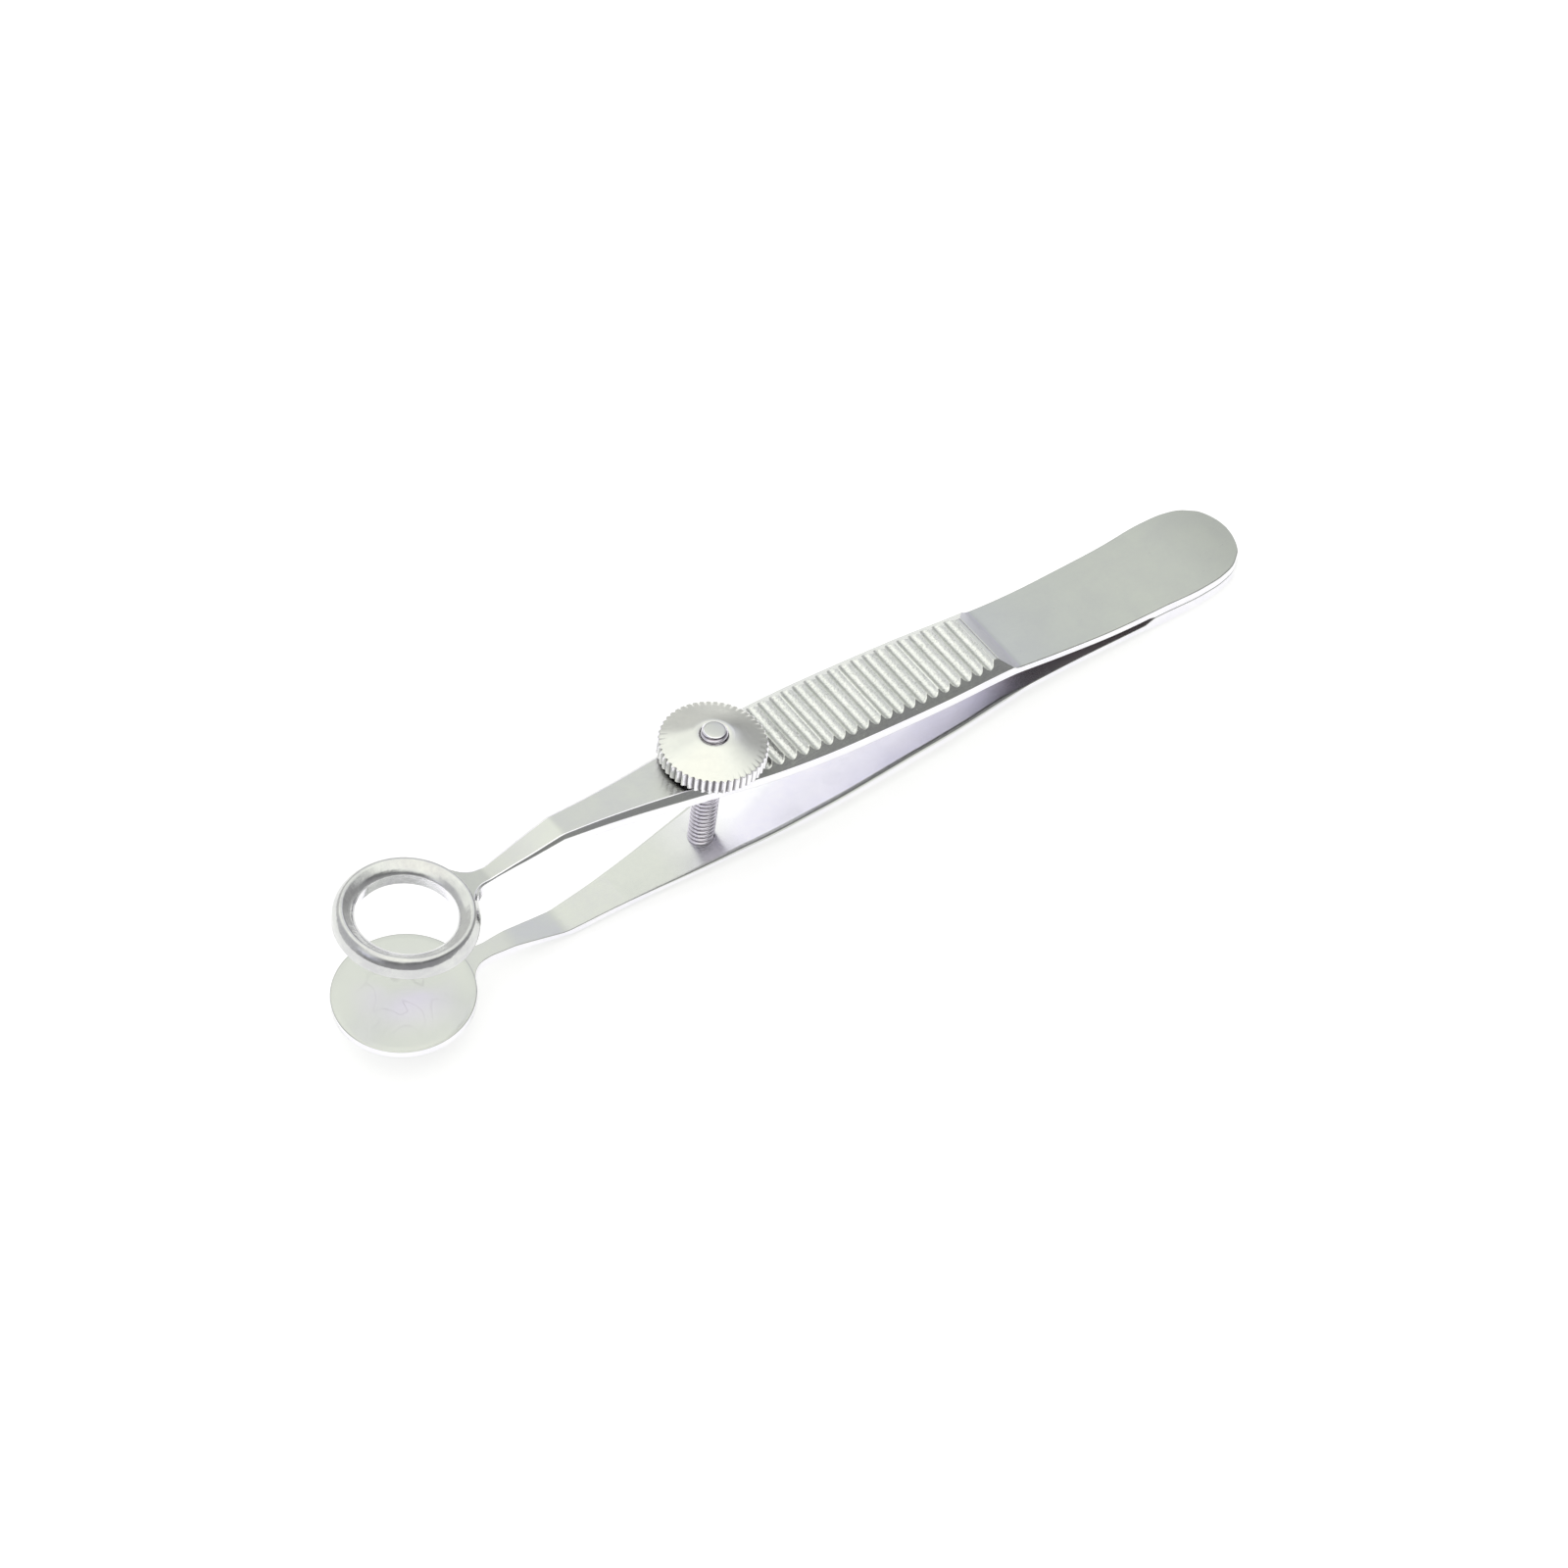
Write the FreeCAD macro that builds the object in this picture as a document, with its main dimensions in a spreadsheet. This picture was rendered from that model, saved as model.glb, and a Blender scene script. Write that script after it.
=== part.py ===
import FreeCAD, Part
import math
import os
import Sketcher

# Chalazion clamp: two spring arms joined at the tail, a ring on the upper arm,
# a plate on the lower arm, and a threaded stud with a washer and knurled nut.
# Millimetres. X runs from the ring end to the tail, Z is up, the clamp lies on
# Z = 0, and the XZ plane is its plane of symmetry. Stations along X are measured
# from the centre of the plate; the bodies are then placed so that the middle of
# the clamp is at the origin. The pose is the open one.

SIZES = {
    "plate_radius": 5.75,
    "plate_thickness": 0.9,
    "plate_height": 3.5,
    "plate_pitch": 2.86,
    "ring_x": 1.1,
    "ring_outer_radius": 5.72,
    "ring_bore_radius": 4.0,
    "ring_crown_radius": 5.05,
    "ring_wall_height": 0.95,
    "ring_lip_height": 1.15,
    "ring_crown_height": 1.7,
    "closed_gap": 0.05,
    "close_angle": 6.85,
    "weld_x": 71.2,
    "weld_height": 1.45,
    "weld_clearance": 0.01,
    "tail_nose_x": 81.85,
    "tail_half_width": 4.33,
    "tail_thickness": 0.95,
    "tail_top_slope": 0.07,
    "tail_seam_slope": 0.06,
    "leaf_start_x": 57.3,
    "leaf_thickness": 0.74,
    "leaf_sag": 0.31,
    "upper_leaf_height": 4.76,
    "lower_leaf_height": 1.9,
    "waist_half_width": 3.58,
    "grip_end_x": 56.0,
    "grip_end_height": 6.0,
    "grip_half_width": 3.9,
    "grip_thickness": 1.75,
    "grip_floor_height": 0.42,
    "shank_thickness": 1.44,
    "crease_x": 15.0,
    "crease_height": 13.29,
    "crease_thickness": 1.14,
    "crease_half_width": 1.07,
    "neck_x": 8.6,
    "neck_height": 12.3,
    "neck_thickness": 1.08,
    "neck_half_width": 0.57,
    "joggle_x": 9.8,
    "joggle_height": 2.56,
    "belly_x": 16.0,
    "belly_thickness": 1.07,
    "facet_height": 0.8,
    "facet_spread": 0.84,
    "groove_radius": 0.6,
    "groove_depth": 0.38,
    "groove_pitch": 1.17,
    "groove_count": 20,
    "groove_start_x": 33.1,
    "stud_x": 28.2,
    "stud_height": 1.6,
    "stud_lean": 9.0,
    "stud_radius": 1.1,
    "stud_proud": 0.48,
    "rivet_radius": 0.8,
    "rivet_head_radius": 1.25,
    "rivet_foot_height": 0.1,
    "rivet_depth": 0.32,
    "rivet_clearance": 0.02,
    "running_fit": 0.05,
    "seat_clearance": 0.026,
    "washer_radius": 2.3,
    "washer_thickness": 0.25,
    "nut_clearance": 0.02,
    "nut_radius": 4.43,
    "nut_rim_height": 1.45,
    "nut_cone_height": 0.98,
    "nut_teeth": 48,
    "tooth_depth": 0.26,
    "slot_clearance": 0.25,
    "slot_half_length": 0.45,
}

doc = FreeCAD.newDocument("chalazion_clamp")
sheet = doc.addObject("Spreadsheet::Sheet", "sizes")
for row, (name, amount) in enumerate(SIZES.items(), start=1):
    sheet.set("A%d" % row, name)
    sheet.set("B%d" % row, str(amount))
    sheet.setAlias("B%d" % row, name)
doc.recompute()


def size(name):
    return float(sheet.get(name))


def slope(name):
    return math.tan(math.radians(size(name)))


def blend(table, x):
    """Value of a station table at x, straight between stations."""
    for (x0, y0), (x1, y1) in zip(table, table[1:]):
        if x <= x1:
            return y0 + (y1 - y0) * (x - x0) / (x1 - x0)
    return table[-1][1]


def point(x, y):
    return FreeCAD.Vector(x, y, 0)


def new_body(name):
    """Body whose stations are moved so that the middle of the clamp is at the origin."""
    body = doc.addObject("PartDesign::Body", name)
    body.Label = name
    body.setExpression("Placement.Base.x", "(sizes.plate_radius - sizes.tail_nose_x) / 2")
    return body


def new_sketch(body, name, role, base=(0, 0, 0), axis=(0, 0, 1), angle=0.0):
    sketch = body.newObject("Sketcher::SketchObject", name)
    plane = [item for item in body.Origin.OriginFeatures if item.Role == role][0]
    sketch.AttachmentSupport = [(plane, "")]
    sketch.MapMode = "FlatFace"
    turn = FreeCAD.Rotation(FreeCAD.Vector(*axis), angle)
    sketch.AttachmentOffset = FreeCAD.Placement(FreeCAD.Vector(*base), turn)
    return sketch


def outline(sketch, corners, arcs=None, bound=None):
    """Closed outline with every corner pinned to the sketch origin.

    arcs gives the middle point of a side that is round, by the number of its
    first corner; bound gives (x, y) expressions for a corner."""
    arcs = arcs or {}
    bound = bound or {}
    count = len(corners)
    sides = []
    for i, corner in enumerate(corners):
        after = corners[(i + 1) % count]
        if i in arcs:
            edge = Part.Arc(point(*corner), point(*arcs[i]), point(*after))
        else:
            edge = Part.LineSegment(point(*corner), point(*after))
        number = sketch.addGeometry(edge, False)
        turned_round = (sketch.getPoint(number, 1) - point(*corner)).Length > 1e-6
        sides.append((number, 2, 1) if turned_round else (number, 1, 2))
    for i, corner in enumerate(corners):
        number, start, end = sides[i]
        after, after_start, after_end = sides[(i + 1) % count]
        sketch.addConstraint(Sketcher.Constraint("Coincident", number, end, after, after_start))
        for k, kind in enumerate(("DistanceX", "DistanceY")):
            held = sketch.addConstraint(Sketcher.Constraint(kind, -1, 1, number, start, corner[k]))
            expression = bound.get(i, (None, None))[k]
            if expression:
                sketch.setExpression("Constraints[%d]" % held, expression)
        radius = sketch.Geometry[number].Radius if i in arcs else 0
        if radius > 0.51 * (point(*corners[(i + 1) % count]) - point(*corner)).Length:
            sketch.addConstraint(Sketcher.Constraint("Radius", number, radius))


def leaning_sketch(body, name, x, z, lean):
    """Sketch in the plane of symmetry whose own Y axis leans towards the tail."""
    return new_sketch(body, name, "XZ_Plane", (x, z, 0), (0, 0, 1), -lean)


def axis_sketch(body, name):
    """Leaning sketch whose own Y axis is the stud's axis."""
    return leaning_sketch(body, name, size("stud_x"), size("stud_height"), size("stud_lean"))


def cross_sketch(body, name, station):
    """Sketch square to the stud's axis, at a station along it."""
    lean = math.radians(size("stud_lean"))
    x = size("stud_x") + station * math.sin(lean)
    z = size("stud_height") + station * math.cos(lean)
    return new_sketch(body, name, "XY_Plane", (x, 0, z), (0, 1, 0), size("stud_lean"))


def turned(body, name, sketch, cut=False):
    kind = "PartDesign::Groove" if cut else "PartDesign::Revolution"
    feature = body.newObject(kind, name)
    feature.Profile = sketch
    feature.ReferenceAxis = (sketch, ["V_Axis"])
    feature.Angle = 360
    body.Tip = feature
    return feature


def pocket_cut(body, name, sketch, length=None):
    """Cut both ways from the sketch, through the whole body unless a length is given."""
    feature = body.newObject("PartDesign::Pocket", name)
    feature.Profile = sketch
    feature.Midplane = True
    if length is None:
        feature.Type = "ThroughAll"
    else:
        feature.Length = length
    body.Tip = feature
    return feature


def arm_slab(body, corners, arcs, bound):
    """Slab of the arm: its side profile, drawn in the plane of symmetry."""
    sketch = new_sketch(body, body.Name + "_side", "XZ_Plane")
    outline(sketch, corners, arcs, bound)
    pad = body.newObject("PartDesign::Pad", body.Name + "_slab")
    pad.Profile = sketch
    pad.Length = 4 * size("tail_half_width")
    pad.Midplane = True
    body.Tip = pad


def half_widths(edge):
    """Half width of an arm, station by station; edge is where its ring or plate ends."""
    neck = size("neck_half_width")
    tail = size("tail_half_width")
    nose = size("tail_nose_x")
    return [
        (edge - 1.15, 2.3), (edge - 0.55, 1.75), (edge, 1.15), (edge + 0.65, neck + 0.16),
        (edge + 1.7, neck), (edge + 3.2, neck + 0.06),
        (12.0, 0.82), (size("crease_x"), size("crease_half_width")), (18.5, 1.32), (22.0, 1.75),
        (25.5, 2.3), (29.3, 2.9), (33.0, 3.42), (38.0, 3.8), (44.0, size("grip_half_width")),
        (50.0, 3.85), (size("leaf_start_x"), size("waist_half_width")), (62.0, 3.72), (67.0, 3.98),
        (size("weld_x") + 0.8, 4.13), (nose - 5.6, tail), (nose - 3.45, 0.955 * tail),
        (nose - 1.95, 0.838 * tail), (nose - 0.85, 0.635 * tail),
    ]


def arm_plan(body, edge):
    """Cut away all that lies outside the arm's outline as seen from above."""
    stations = half_widths(edge)
    sketch = new_sketch(body, body.Name + "_plan", "XY_Plane")
    for side in (1, -1):
        curve = Part.BSplineCurve()
        curve.interpolate([point(x, side * y) for x, y in stations])
        sketch.addGeometry(curve, False)
    start_x, start_y = stations[0]
    sketch.addGeometry(Part.LineSegment(point(start_x, start_y), point(start_x, -start_y)), False)
    end_x, end_y = stations[-1]
    nose = point(size("tail_nose_x"), 0)
    sketch.addGeometry(Part.Arc(point(end_x, end_y), nose, point(end_x, -end_y)), False)
    reach = 3 * size("tail_half_width")
    left = start_x - reach
    right = end_x + reach
    frame = [(left, -reach), (right, -reach), (right, reach), (left, reach)]
    outline(sketch, frame)
    pocket_cut(body, body.Name + "_trim", sketch)


def facet_heights():
    """Height of the sloping side facet, station by station, from the neck to the leaf."""
    full = size("facet_height")
    return [
        (9.3, 0.15 * full), (12.0, 0.27 * full), (size("crease_x"), 0.41 * full), (18.5, 0.52 * full),
        (22.0, 0.62 * full), (25.5, 0.72 * full), (29.3, 0.85 * full), (33.0, 0.94 * full),
        (38.0, full), (44.0, full), (50.0, full), (size("leaf_start_x") + 1.3, full),
    ]


def arm_facets(body, edge, face, outward):
    """Sloping facets along both edges of the arm's outer face.

    face is the outer face as a station table, outward is 1 up or -1 down."""
    widths = half_widths(edge)
    for side in (1, -1):
        sections = []
        for number, (x, height) in enumerate(facet_heights()):
            half = blend(widths, x)
            level = blend(face, x)
            spread = height * size("facet_spread")
            over = 0.35 / math.hypot(height, spread)
            low = (half + over * spread, level - outward * height * (1 + over))
            high = (half - spread * (1 + over), level + outward * height * over)
            out = (half + 2 * size("facet_height"), level + outward * 1.5 * size("facet_height"))
            name = "%s_facet_%d_%d" % (body.Name, side + 1, number)
            sketch = new_sketch(body, name, "YZ_Plane", (0, 0, x))
            outline(sketch, [(side * y, z) for y, z in (low, high, out)])
            sections.append(sketch)
        loft = body.newObject("PartDesign::SubtractiveLoft", "%s_facets_%d" % (body.Name, side + 1))
        loft.Profile = sections[0]
        loft.Sections = sections[1:]
        loft.Ruled = False
        body.Tip = loft


def arm_grooves(body, height_at_start, rise, outward):
    """Cross serrations of the finger grip, cut into the outer face."""
    angle = math.degrees(math.atan(rise))
    place = (size("groove_start_x"), height_at_start, 0)
    sketch = new_sketch(body, body.Name + "_groove", "XZ_Plane", place, (0, 0, 1), angle)
    sketch.setExpression("AttachmentOffset.Base.x", "sizes.groove_start_x")
    above = outward * (size("groove_radius") - size("groove_depth"))
    circle = Part.Circle(point(0, above), FreeCAD.Vector(0, 0, 1), size("groove_radius"))
    number = sketch.addGeometry(circle, False)
    held = sketch.addConstraint(Sketcher.Constraint("Radius", number, size("groove_radius")))
    sketch.setExpression("Constraints[%d]" % held, "sizes.groove_radius")
    sketch.addConstraint(Sketcher.Constraint("DistanceX", -1, 1, number, 3, 0))
    held = sketch.addConstraint(Sketcher.Constraint("DistanceY", -1, 1, number, 3, above))
    sign = "" if outward > 0 else "-"
    sketch.setExpression("Constraints[%d]" % held, sign + "(sizes.groove_radius - sizes.groove_depth)")
    pocket = pocket_cut(body, body.Name + "_first_groove", sketch)
    pattern = body.newObject("PartDesign::LinearPattern", body.Name + "_grooves")
    pattern.Originals = [pocket]
    pattern.Direction = (sketch, ["H_Axis"])
    pattern.setExpression("Length", "sizes.groove_pitch * (sizes.groove_count - 1)")
    pattern.setExpression("Occurrences", "sizes.groove_count")
    pattern.Length = size("groove_pitch") * (size("groove_count") - 1)
    pattern.Occurrences = int(size("groove_count"))
    body.Tip = pattern


# Plate plane and hinge line give the ring its place: closed, it lies flat on the plate.
weld_x = size("weld_x")
weld_height = size("weld_height")
ring_pitch = size("plate_pitch") + size("close_angle")
ring_slope = math.tan(math.radians(ring_pitch))
plate_level_at_weld = size("plate_height") - weld_x * slope("plate_pitch")
reach_to_plate = (weld_height - plate_level_at_weld) * math.cos(math.radians(size("plate_pitch")))
drop_to_ring = (reach_to_plate - size("closed_gap")) / math.cos(math.radians(ring_pitch))
ring_height = weld_height - drop_to_ring + (weld_x - size("ring_x")) * ring_slope
ring_edge = size("ring_x") + size("ring_outer_radius") * math.cos(math.radians(ring_pitch))
plate_edge = size("plate_radius") * math.cos(math.radians(size("plate_pitch")))
root_depth = 1.74
tail_end = size("tail_nose_x") + 0.5
seam_end = weld_height - size("tail_seam_slope") * (tail_end - weld_x)
leaf_start = size("leaf_start_x")
leaf_middle = 0.5 * (leaf_start + weld_x)
leaf = size("leaf_thickness")

# Upper arm: ring end, neck, crease, raised grip, leaf and tail.
crease_x = size("crease_x")
crease_height = size("crease_height")
grip_slope = (size("grip_end_height") - crease_height) / (size("grip_end_x") - crease_x)


def grip_top(x):
    return crease_height + grip_slope * (x - crease_x)


root_x = ring_edge - root_depth
root_floor = ring_height - (root_x - size("ring_x")) * ring_slope
root_top = root_floor + 0.88 * size("ring_crown_height")
tail_top = weld_height + size("tail_thickness")
upper_middle = 0.5 * (size("upper_leaf_height") + tail_top) - size("leaf_sag")
upper_side = [
    (root_x, root_top),
    (size("neck_x"), size("neck_height")),
    (crease_x, crease_height),
    (size("grip_end_x"), size("grip_end_height")),
    (leaf_start, size("upper_leaf_height")),
    (weld_x, tail_top),
    (tail_end, tail_top - size("tail_top_slope") * (tail_end - weld_x)),
    (tail_end, seam_end + size("weld_clearance")),
    (weld_x, weld_height + size("weld_clearance")),
    (weld_x - 0.5, tail_top - 0.97 * leaf),
    (leaf_start, size("upper_leaf_height") - leaf),
    (38.0, grip_top(38.0) - size("grip_thickness")),
    (22.0, grip_top(22.0) - size("shank_thickness")),
    (crease_x, crease_height - size("crease_thickness")),
    (size("neck_x"), size("neck_height") - size("neck_thickness")),
    (root_x, root_floor + 0.21),
]
upper_bound = {
    1: ("sizes.neck_x", "sizes.neck_height"),
    2: ("sizes.crease_x", "sizes.crease_height"),
    3: ("sizes.grip_end_x", "sizes.grip_end_height"),
    4: ("sizes.leaf_start_x", "sizes.upper_leaf_height"),
    5: ("sizes.weld_x", "sizes.weld_height + sizes.tail_thickness"),
    8: ("sizes.weld_x", "sizes.weld_height + sizes.weld_clearance"),
    10: ("sizes.leaf_start_x", "sizes.upper_leaf_height - sizes.leaf_thickness"),
    13: ("sizes.crease_x", "sizes.crease_height - sizes.crease_thickness"),
    14: ("sizes.neck_x", "sizes.neck_height - sizes.neck_thickness"),
}
upper_arcs = {4: (leaf_middle, upper_middle), 9: (leaf_middle, upper_middle - leaf)}
upper_face = upper_side[:3] + [(60.0, grip_top(60.0))]
upper = new_body("upper_arm")
arm_slab(upper, upper_side, upper_arcs, upper_bound)
arm_plan(upper, ring_edge)
arm_facets(upper, ring_edge, upper_face, 1)
arm_grooves(upper, grip_top(size("groove_start_x")), grip_slope, 1)

# Where the stud's axis meets the grip's top, measured along the stud.
lean = math.radians(size("stud_lean"))
arm_station = grip_top(size("stud_x")) - size("stud_height")
arm_station /= math.cos(lean) - grip_slope * math.sin(lean)
slot = cross_sketch(upper, "stud_slot", arm_station - 0.5 * size("grip_thickness"))
half = size("slot_half_length")
radius = size("stud_radius") + size("slot_clearance")
wide = "sizes.stud_radius + sizes.slot_clearance"
outline(slot, [(-half, -radius), (half, -radius), (half, radius), (-half, radius)],
        {1: (half + radius, 0), 3: (-half - radius, 0)},
        {0: ("-sizes.slot_half_length", "-(%s)" % wide),
         1: ("sizes.slot_half_length", "-(%s)" % wide),
         2: ("sizes.slot_half_length", wide),
         3: ("-sizes.slot_half_length", wide)})
pocket_cut(upper, "slot_cut", slot, 3 * size("grip_thickness"))

ring = leaning_sketch(upper, "ring_section", size("ring_x"), ring_height, ring_pitch)
bore = size("ring_bore_radius")
rim = size("ring_outer_radius")
crown = size("ring_crown_radius")
top = size("ring_crown_height")
wall = size("ring_wall_height")
lip = size("ring_lip_height")
chamfer = 0.1
outline(ring,
        [(bore, chamfer), (bore + chamfer, 0), (rim - chamfer, 0), (rim, chamfer), (rim, wall),
         (crown + 0.08, top), (crown - 0.08, top), (bore, lip)],
        {4: (rim - 0.18, wall + 0.67 * (top - wall)),
         6: (0.6 * bore + 0.4 * crown, lip + 0.33 * (top - lip))},
        {4: ("sizes.ring_outer_radius", "sizes.ring_wall_height"),
         7: ("sizes.ring_bore_radius", "sizes.ring_lip_height")})
turned(upper, "ring", ring)

# Lower arm: plate, neck, joggle, belly, grip, leaf and tail.
foot_x = size("belly_x")
grip_floor = size("grip_floor_height")
grip_foot_x = 34.0
leaf_foot = size("lower_leaf_height") - leaf
leaf_end_x = weld_x - 1.0
leaf_end_height = weld_height - 0.33
lower_middle = 0.5 * (size("lower_leaf_height") + leaf_end_height)
root_level = size("plate_height") - (plate_edge - root_depth) * slope("plate_pitch")
lower_side = [
    (plate_edge - root_depth, root_level - 0.03),
    (size("joggle_x"), size("joggle_height")),
    (foot_x - 1.7, size("belly_thickness")),
    (36.0, grip_floor + size("grip_thickness") - 0.03),
    (46.0, grip_floor + size("grip_thickness") + 0.08),
    (leaf_start, size("lower_leaf_height")),
    (leaf_end_x, leaf_end_height),
    (weld_x, weld_height),
    (tail_end, seam_end),
    (tail_end, 0.0),
    (weld_x + 1.0, 0.0),
    (leaf_end_x - 0.6, leaf_end_height - 0.9 * leaf),
    (leaf_start, leaf_foot),
    (size("grip_end_x"), grip_floor - 0.14),
    (grip_foot_x, grip_floor),
    (foot_x, 0.0),
    (foot_x - 1.0, 0.05),
    (size("joggle_x") + 0.6, size("joggle_height") - size("crease_thickness")),
    (plate_edge - root_depth, root_level - size("plate_thickness") - 0.02),
]
lower_bound = {
    1: ("sizes.joggle_x", "sizes.joggle_height"),
    2: ("sizes.belly_x - 1.7", "sizes.belly_thickness"),
    5: ("sizes.leaf_start_x", "sizes.lower_leaf_height"),
    7: ("sizes.weld_x", "sizes.weld_height"),
    12: ("sizes.leaf_start_x", "sizes.lower_leaf_height - sizes.leaf_thickness"),
    14: (None, "sizes.grip_floor_height"),
    15: ("sizes.belly_x", None),
}
lower_arcs = {
    2: (25.0, size("belly_thickness") + 0.2),
    5: (leaf_middle, lower_middle + 0.07),
    11: (leaf_middle - 0.4, lower_middle + 0.07 - 0.93 * leaf),
    14: (0.5 * (foot_x + grip_foot_x), 0.24 * grip_floor),
}
lower_face = [
    (plate_edge - root_depth, root_level - size("plate_thickness")),
    (size("joggle_x") + 0.6, size("joggle_height") - size("crease_thickness")),
    (foot_x - 1.0, 0.05),
    (foot_x, 0.0),
    (20.5, 0.03 * grip_floor),
    (25.0, 0.24 * grip_floor),
    (29.5, 0.55 * grip_floor),
    (grip_foot_x, grip_floor),
    (60.0, grip_floor - 0.165),
]
lower = new_body("lower_arm")
arm_slab(lower, lower_side, lower_arcs, lower_bound)
arm_plan(lower, plate_edge)
arm_facets(lower, plate_edge, lower_face, -1)
grip_fall = -0.14 / (size("grip_end_x") - grip_foot_x)
arm_grooves(lower, blend(lower_face, size("groove_start_x")), grip_fall, -1)

plate = leaning_sketch(lower, "plate_section", 0, size("plate_height"), size("plate_pitch"))
radius = size("plate_radius")
thick = size("plate_thickness")
outline(plate,
        [(0, -thick), (radius - 0.15, -thick), (radius, 0.15 - thick),
         (radius, -0.06), (radius - 0.06, 0), (0, 0)],
        None,
        {3: ("sizes.plate_radius", None), 0: (None, "-sizes.plate_thickness")})
turned(lower, "plate", plate)

# Threaded stud, riveted into the lower arm. The thread itself is a surface detail.
gap = size("rivet_clearance")
seat = -size("rivet_depth")
head = size("rivet_head_radius")
neck = size("rivet_radius")
shank = size("stud_radius")
hole = axis_sketch(lower, "stud_hole")
outline(hole,
        [(0, 1.2), (0, -2.4), (head + gap, -2.4), (head + gap, -1.5),
         (neck + gap, -1.05), (neck + gap, seat), (shank + gap, seat), (shank + gap, 1.2)])
turned(lower, "stud_hole_cut", hole, cut=True)

# The washer clears the sloping arm at its own rim; nut and stud are stacked on it.
arm_lean = math.atan(-grip_slope) - lean
washer_low = arm_station + size("washer_radius") * math.tan(abs(arm_lean)) + size("seat_clearance")
washer_high = washer_low + size("washer_thickness")
nut_low = washer_high + size("nut_clearance")
nut_edge = nut_low + size("nut_rim_height")
nut_peak = nut_edge + size("nut_cone_height")
stud_length = nut_peak + size("stud_proud")

stud = new_body("threaded_stud")
section = axis_sketch(stud, "stud_section")
outline(section,
        [(0, -2.0), (head, -2.0), (head, -1.5 - gap), (neck, -1.05 - gap), (neck, seat + 0.001),
         (shank, seat + 0.001), (shank, stud_length - 0.3), (shank - 0.25, stud_length), (0, stud_length)],
        {6: (shank - 0.06, stud_length - 0.08)},
        {1: ("sizes.rivet_head_radius", None), 5: ("sizes.stud_radius", None)})
turned(stud, "stud_turned", section)
foot = new_sketch(stud, "rivet_foot", "XZ_Plane")
foot_height = "sizes.rivet_foot_height"
left = size("stud_x") - 4
right = size("stud_x") + 4
foot_top = size("rivet_foot_height")
outline(foot, [(left, -3), (right, -3), (right, foot_top), (left, foot_top)], None,
        {2: (None, foot_height), 3: (None, foot_height)})
pocket_cut(stud, "rivet_flush", foot)

# Seat washer and thumb nut, both on the axis of the stud.
bore = size("stud_radius") + size("running_fit")
bore_words = "sizes.stud_radius + sizes.running_fit"
washer = new_body("seat_washer")
section = axis_sketch(washer, "washer_section")
rim = size("washer_radius")
outline(section,
        [(bore, washer_low), (rim, washer_low), (rim, washer_high), (bore, washer_high)],
        None, {0: (bore_words, None), 1: ("sizes.washer_radius", None)})
turned(washer, "washer_turned", section)

nut = new_body("thumb_nut")
section = axis_sketch(nut, "nut_section")
rim = size("nut_radius")
outline(section,
        [(bore, nut_low), (rim - 0.35, nut_low), (rim, nut_low + 0.2), (rim, nut_edge - 0.08),
         (rim - 0.12, nut_edge), (bore + 0.35, nut_peak - 0.04), (bore, nut_peak - 0.1)],
        None,
        {0: (bore_words, None), 2: ("sizes.nut_radius", None), 3: ("sizes.nut_radius", None)})
turned(nut, "nut_turned", section)
tooth = cross_sketch(nut, "tooth_gap", 0.5 * (nut_low + nut_peak))
spacing = 2 * math.pi * rim / size("nut_teeth")
root = rim - size("tooth_depth")
root_words = "sizes.nut_radius - sizes.tooth_depth"
wide = 0.42 * spacing
outline(tooth, [(root, 0.04), (root, -0.04), (rim + 0.1, -wide), (rim + 0.1, wide)], None,
        {0: (root_words, None), 1: (root_words, None)})
tooth_cut = pocket_cut(nut, "tooth_cut", tooth, 3 * (nut_peak - nut_low))
knurl = nut.newObject("PartDesign::PolarPattern", "knurl")
knurl.Originals = [tooth_cut]
knurl.Axis = (tooth, ["N_Axis"])
knurl.Angle = 360
knurl.setExpression("Occurrences", "sizes.nut_teeth")
knurl.Occurrences = int(size("nut_teeth"))
nut.Tip = knurl

doc.recompute()

os.makedirs("parts", exist_ok=True)
for item in doc.Objects:
    for word in ("Invalid", "Error"):
        if word in item.State:
            raise RuntimeError("%s is %s" % (item.Name, word))
for body in (lower, upper, stud, washer, nut):
    shape = body.Shape
    if shape.isNull() or not shape.isValid() or len(shape.Solids) != 1:
        raise RuntimeError("%s has no single valid solid" % body.Label)
    print(body.Label, "volume %.2f" % shape.Volume, "faces", len(shape.Faces))
    shape.exportStep("parts/%s.step" % body.Label)
print("ring height %.3f, washer at %.3f, stud length %.3f" % (ring_height, washer_low, stud_length))
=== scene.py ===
import math

import bmesh
import bpy
from mathutils import Matrix, Vector


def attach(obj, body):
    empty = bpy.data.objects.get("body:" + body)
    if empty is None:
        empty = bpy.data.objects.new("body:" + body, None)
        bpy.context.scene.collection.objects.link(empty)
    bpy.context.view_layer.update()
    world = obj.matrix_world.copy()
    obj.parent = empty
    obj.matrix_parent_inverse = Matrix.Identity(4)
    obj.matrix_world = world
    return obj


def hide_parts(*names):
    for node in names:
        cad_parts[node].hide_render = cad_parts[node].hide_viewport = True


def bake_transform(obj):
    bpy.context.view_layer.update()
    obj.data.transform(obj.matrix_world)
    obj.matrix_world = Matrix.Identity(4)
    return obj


# Chalazion clamp in satin stainless steel, lying open on a white table.
# Stations and heights are in millimetres, with stations measured from the centre
# of the plate towards the tail; SHIFT then moves them into the frame of the model.

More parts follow.
